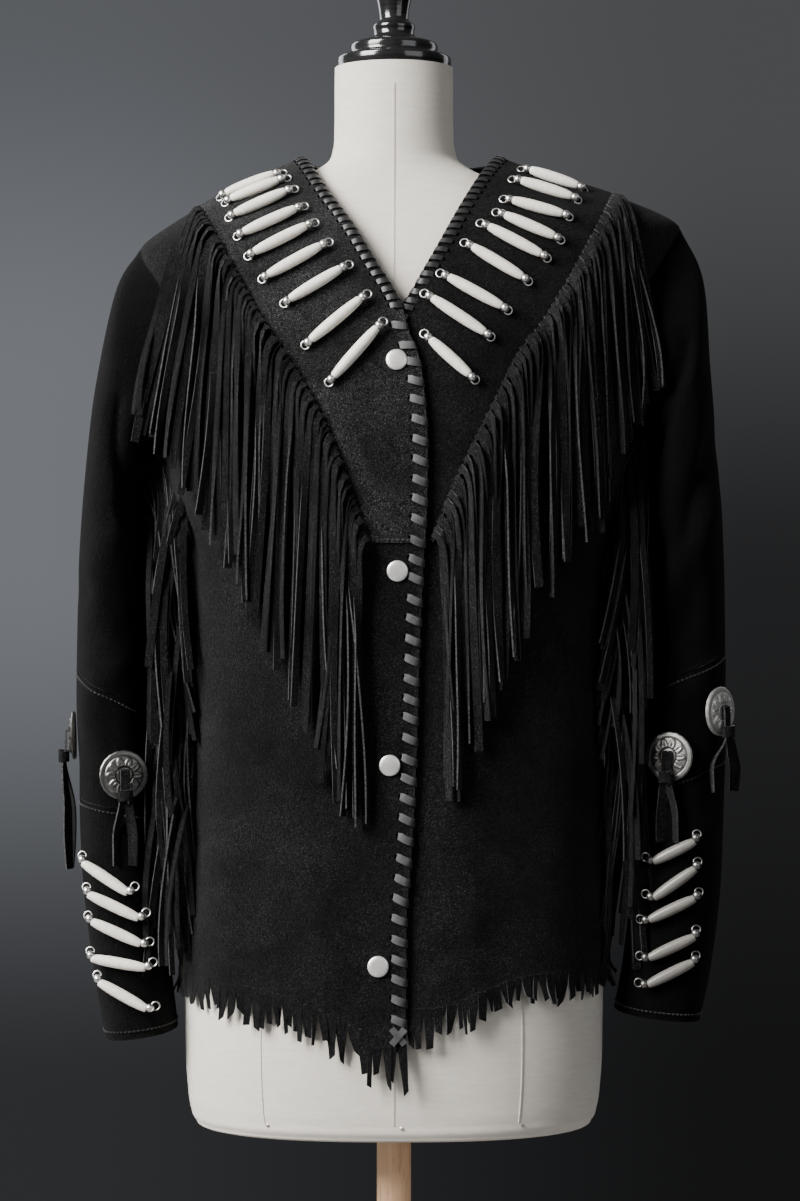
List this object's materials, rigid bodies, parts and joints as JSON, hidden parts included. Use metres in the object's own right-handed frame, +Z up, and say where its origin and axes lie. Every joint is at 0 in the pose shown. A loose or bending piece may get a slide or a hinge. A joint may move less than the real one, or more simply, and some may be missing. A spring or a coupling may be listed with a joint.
{
  "type": "fringed suede jacket on a dress form",
  "caption": "Black suede western jacket with yoke, sleeve and hem fringe, bone beads, snaps and conchos, on a linen dress form.",
  "frame": {"origin": "centre of the base's flat underside, on the floor", "axes": "+Z up along the pole; the front of the jacket faces -Y; the wearer's right is at -X"},
  "size_m": [0.5534, 0.3674, 1.618],
  "materials": {
    "suede": "black split suede with a short nap",
    "bone": "polished ivory-white bone",
    "silver": "satin white metal",
    "linen": "plain cream linen",
    "black_gloss": "gloss black lacquer",
    "beech": "oiled pale beech"
  },
  "bodies": {
    "root": {"front_right": "suede", "front_left": "suede", "back_panel": "suede", "sleeve_upper_right": "suede", "sleeve_band_right": "suede", "sleeve_cuff_right": "suede", "sleeve_upper_left": "suede", "sleeve_band_left": "suede", "sleeve_cuff_left": "suede", "yoke_front_right": "suede", "yoke_front_left": "suede", "yoke_back": "suede", "fringe_yoke_right": "suede", "fringe_yoke_left": "suede", "fringe_back": "suede", "fringe_hem_right": "suede", "fringe_hem_left": "suede", "fringe_hem_back": "suede", "fringe_sleeve_right": "suede", "fringe_sleeve_left": "suede", "thong_right_front": "suede", "thong_right_side": "suede", "thong_left_front": "suede", "thong_left_side": "suede", "hairpipe_right_1": "bone", "hairpipe_right_2": "bone", "hairpipe_right_3": "bone", "hairpipe_right_4": "bone", "hairpipe_right_5": "bone", "hairpipe_right_6": "bone", "hairpipe_right_7": "bone", "hairpipe_right_8": "bone", "hairpipe_right_9": "bone", "hairpipe_left_1": "bone", "hairpipe_left_2": "bone", "hairpipe_left_3": "bone", "hairpipe_left_4": "bone", "hairpipe_left_5": "bone", "hairpipe_left_6": "bone", "hairpipe_left_7": "bone", "hairpipe_left_8": "bone", "hairpipe_left_9": "bone", "snap_1": "silver", "snap_2": "silver", "snap_3": "silver", "snap_4": "silver", "concho_right_front": "silver", "concho_right_side": "silver", "concho_left_front": "silver", "concho_left_side": "silver", "bust_form": "linen", "neck_finial": "black_gloss", "pole_collar": "black_gloss", "pole": "beech", "base": "beech"}
  },
  "joints": []
}
